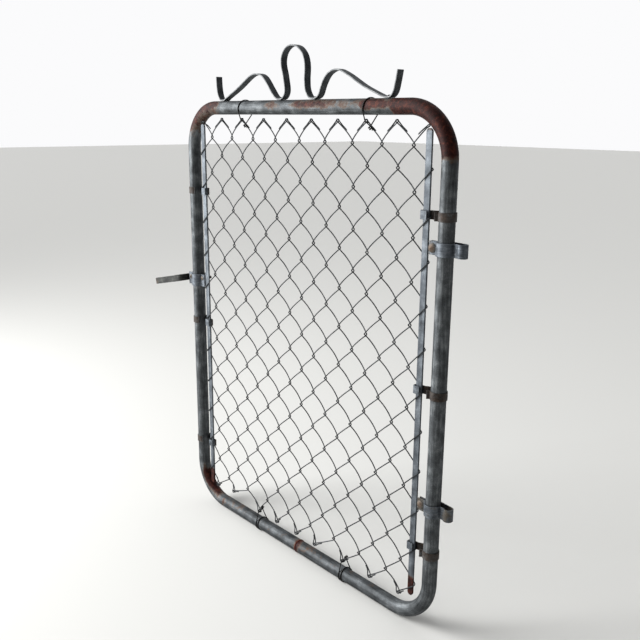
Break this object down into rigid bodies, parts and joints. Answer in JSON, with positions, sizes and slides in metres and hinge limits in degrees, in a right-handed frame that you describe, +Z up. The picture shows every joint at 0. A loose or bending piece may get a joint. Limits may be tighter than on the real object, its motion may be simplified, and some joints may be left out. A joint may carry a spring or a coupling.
{
  "type": "chain-link walk gate",
  "caption": "Chain-link walk gate: bent tube frame, woven wire fabric on tension bars, ornamental scroll on top, two hinge eyes and a drop fork latch.",
  "frame": {"origin": "middle of the lower hinge eye", "axes": "+X from the latch side to the hinge side, +Y to the back of the gate, +Z up along the hinge pins"},
  "size_m": [1.1542, 0.072, 1.3319],
  "materials": {
    "frame_tube": "weathered galvanised, rusting at the bends",
    "scroll_strip": "dark weathered galvanised",
    "dark_rivets": "blackened",
    "tension_bars": "galvanised, rusting at the ends",
    "bar_clips": "galvanised",
    "hinge_straps": "galvanised",
    "rusty_bolts": "rusting zinc plate",
    "latch_collar": "galvanised",
    "latch_bolts": "zinc plated",
    "latch_fork": "dark worn steel",
    "fabric_wire": "dull galvanised wire",
    "tie_wire": "dark wire"
  },
  "bodies": {
    "gate_leaf": {"top_rail": "frame_tube", "left_stile": "frame_tube", "right_stile": "frame_tube", "bottom_rail_left": "frame_tube", "bottom_rail_right": "frame_tube", "corner_top_left": "frame_tube", "corner_top_right": "frame_tube", "corner_bottom_left": "frame_tube", "corner_bottom_right": "frame_tube", "frame_weld": "frame_tube", "scroll_strip": "scroll_strip", "scroll_rivets": "dark_rivets", "tension_bar_left": "tension_bars", "tension_bar_right": "tension_bars", "left_clip_top": "bar_clips", "left_clip_middle": "bar_clips", "left_clip_bottom": "bar_clips", "right_clip_top": "bar_clips", "right_clip_middle": "bar_clips", "right_clip_bottom": "bar_clips", "upper_hinge_strap": "hinge_straps", "lower_hinge_strap": "hinge_straps", "upper_hinge_bolt": "rusty_bolts", "upper_hinge_nut": "rusty_bolts", "lower_hinge_bolt": "rusty_bolts", "lower_hinge_nut": "rusty_bolts", "latch_collar_front": "latch_collar", "latch_collar_rear": "latch_collar", "latch_clamp_bolt": "latch_bolts", "latch_clamp_nut": "latch_bolts", "latch_pivot_bolt": "latch_bolts", "latch_pivot_nut": "latch_bolts", "mesh_wire_01": "fabric_wire", "mesh_wire_02": "fabric_wire", "mesh_wire_03": "fabric_wire", "mesh_wire_04": "fabric_wire", "mesh_wire_05": "fabric_wire", "mesh_wire_06": "fabric_wire", "mesh_wire_07": "fabric_wire", "mesh_wire_08": "fabric_wire", "mesh_wire_09": "fabric_wire", "mesh_wire_10": "fabric_wire", "mesh_wire_11": "fabric_wire", "mesh_wire_12": "fabric_wire", "mesh_wire_13": "fabric_wire", "mesh_wire_14": "fabric_wire", "mesh_wire_15": "fabric_wire", "mesh_wire_16": "fabric_wire", "mesh_wire_17": "fabric_wire", "mesh_wire_18": "fabric_wire", "tie_top_left": "tie_wire", "tie_top_right": "tie_wire", "tie_bottom_left": "tie_wire", "tie_bottom_right": "tie_wire"},
    "fork": {"latch_fork": "latch_fork"}
  },
  "joints": [
    {"name": "fork_pivot", "type": "hinge", "parent": "gate_leaf", "child": "fork", "pos_m": [-0.9837, -0.0057, 0.3866], "axis": [0, 1, 0], "range_deg": [0, 90]}
  ]
}
